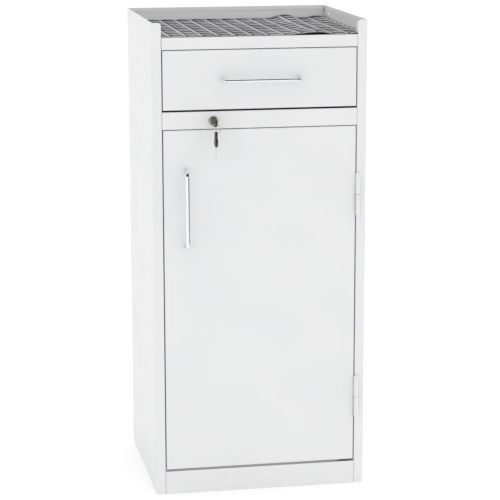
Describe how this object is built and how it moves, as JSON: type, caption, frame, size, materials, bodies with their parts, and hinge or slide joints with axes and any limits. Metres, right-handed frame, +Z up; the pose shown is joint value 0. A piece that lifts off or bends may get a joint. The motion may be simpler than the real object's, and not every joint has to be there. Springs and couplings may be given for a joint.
{
  "type": "bedside cabinet",
  "caption": "Folded-steel ward cabinet with a rimmed top tray and ribbed mat, a drawer on ball slides, a lockable hinged door and keys on a ring.",
  "frame": {"origin": "on the floor, at the centre of the floor area that the cabinet with its handles and keys covers", "axes": "+X to the right of a person facing the front, +Y towards the back, +Z up"},
  "size_m": [0.45, 0.4446, 1],
  "materials": {
    "powder_coat": "white semi-gloss powder coat with a fine orange-peel",
    "zinc_steel": "bright zinc plating",
    "chrome": "polished chrome plating",
    "lock_nickel": "satin nickel plating, slightly warm",
    "brass": "turned brass",
    "mat_rubber": "grey ribbed soft rubber",
    "black_rubber": "black moulded rubber",
    "black_plastic": "black moulded plastic",
    "key_steel": "bright nickel-plated steel"
  },
  "bodies": {
    "cabinet": {"side_panel_left": "powder_coat", "side_panel_right": "powder_coat", "back_panel": "powder_coat", "top_panel": "powder_coat", "mid_rail": "powder_coat", "divider_panel": "powder_coat", "bottom_panel": "powder_coat", "plinth": "powder_coat", "shelf": "powder_coat", "front_stile_left": "powder_coat", "front_stile_right": "powder_coat", "rear_corners": "powder_coat", "floor_angles": "powder_coat", "shelf_uprights_front": "powder_coat", "shelf_uprights_rear": "powder_coat", "back_rivets": "zinc_steel", "shelf_clips": "zinc_steel", "top_mat": "mat_rubber", "slide_bracket_left": "powder_coat", "slide_bracket_right": "powder_coat", "slide_outer_left": "zinc_steel", "slide_outer_right": "zinc_steel", "slide_buffers": "black_rubber", "door_buffers": "black_rubber", "hinge_frame_half_upper": "powder_coat", "hinge_frame_half_lower": "powder_coat", "hinge_pin_upper": "zinc_steel", "hinge_pin_lower": "zinc_steel", "hinge_washers": "brass", "lock_body": "lock_nickel", "lock_nut": "zinc_steel"},
    "drawer": {"drawer_front": "powder_coat", "drawer_box": "powder_coat", "drawer_front_screws": "zinc_steel", "drawer_handle": "chrome", "drawer_handle_screws": "zinc_steel", "slide_inner_left": "zinc_steel", "slide_inner_right": "zinc_steel"},
    "slide_middles": {"slide_middle_left": "zinc_steel", "slide_middle_right": "zinc_steel"},
    "cages_outer": {"ball_cages_outer": "zinc_steel", "slide_balls_outer": "chrome"},
    "cages_inner": {"ball_cages_inner": "zinc_steel", "slide_balls_inner": "chrome"},
    "door": {"door_panel": "powder_coat", "door_stiffener": "powder_coat", "door_handle": "chrome", "door_handle_screws": "zinc_steel", "hinge_door_half_upper": "powder_coat", "hinge_door_half_lower": "powder_coat"},
    "lock_barrel": {"lock_plug": "lock_nickel", "lock_cam": "zinc_steel", "cam_screw": "zinc_steel"},
    "key": {"key_bow": "black_plastic", "key_blade": "key_steel"},
    "ring": {"key_ring": "key_steel"},
    "spare_key": {"spare_key_bow": "black_plastic", "spare_key_blade": "key_steel"}
  },
  "joints": [
    {"name": "drawer_slide", "type": "slide", "parent": "cabinet", "child": "drawer", "axis": [0, -1, 0], "range_m": [0, 0.3]},
    {"name": "slide_middle_travel", "type": "slide", "parent": "cabinet", "child": "slide_middles", "axis": [0, -1, 0], "range_m": [0, 0.15]},
    {"name": "outer_cage_travel", "type": "slide", "parent": "cabinet", "child": "cages_outer", "axis": [0, -1, 0], "range_m": [0, 0.075]},
    {"name": "inner_cage_travel", "type": "slide", "parent": "cabinet", "child": "cages_inner", "axis": [0, -1, 0], "range_m": [0, 0.225]},
    {"name": "door_hinge", "type": "hinge", "parent": "cabinet", "child": "door", "pos_m": [0.207, -0.18365, 0.4154], "axis": [0, 0, 1], "range_deg": [0, 160]},
    {"name": "lock_turn", "type": "hinge", "parent": "cabinet", "child": "lock_barrel", "pos_m": [-0.0985, -0.17825, 0.7975], "axis": [0, 1, 0], "range_deg": [0, 90]},
    {"name": "key_pull", "type": "slide", "parent": "lock_barrel", "child": "key", "axis": [0, -1, 0], "range_m": [0, 0.022]},
    {"name": "ring_hang", "type": "hinge", "parent": "key", "child": "ring", "pos_m": [-0.0985, -0.21125, 0.79175], "axis": [0, 1, 0], "range_deg": [-90, 0]},
    {"name": "spare_key_swing", "type": "hinge", "parent": "ring", "child": "spare_key", "pos_m": [-0.0985, -0.21125, 0.77485], "axis": [-1, 0, 0], "range_deg": [-12, 80]}
  ],
  "couplings": [
    {"joint": "slide_middle_travel", "follows": "drawer_slide", "ratio": 0.5},
    {"joint": "outer_cage_travel", "follows": "drawer_slide", "ratio": 0.25},
    {"joint": "inner_cage_travel", "follows": "drawer_slide", "ratio": 0.75},
    {"joint": "ring_hang", "follows": "lock_turn", "ratio": -1}
  ]
}
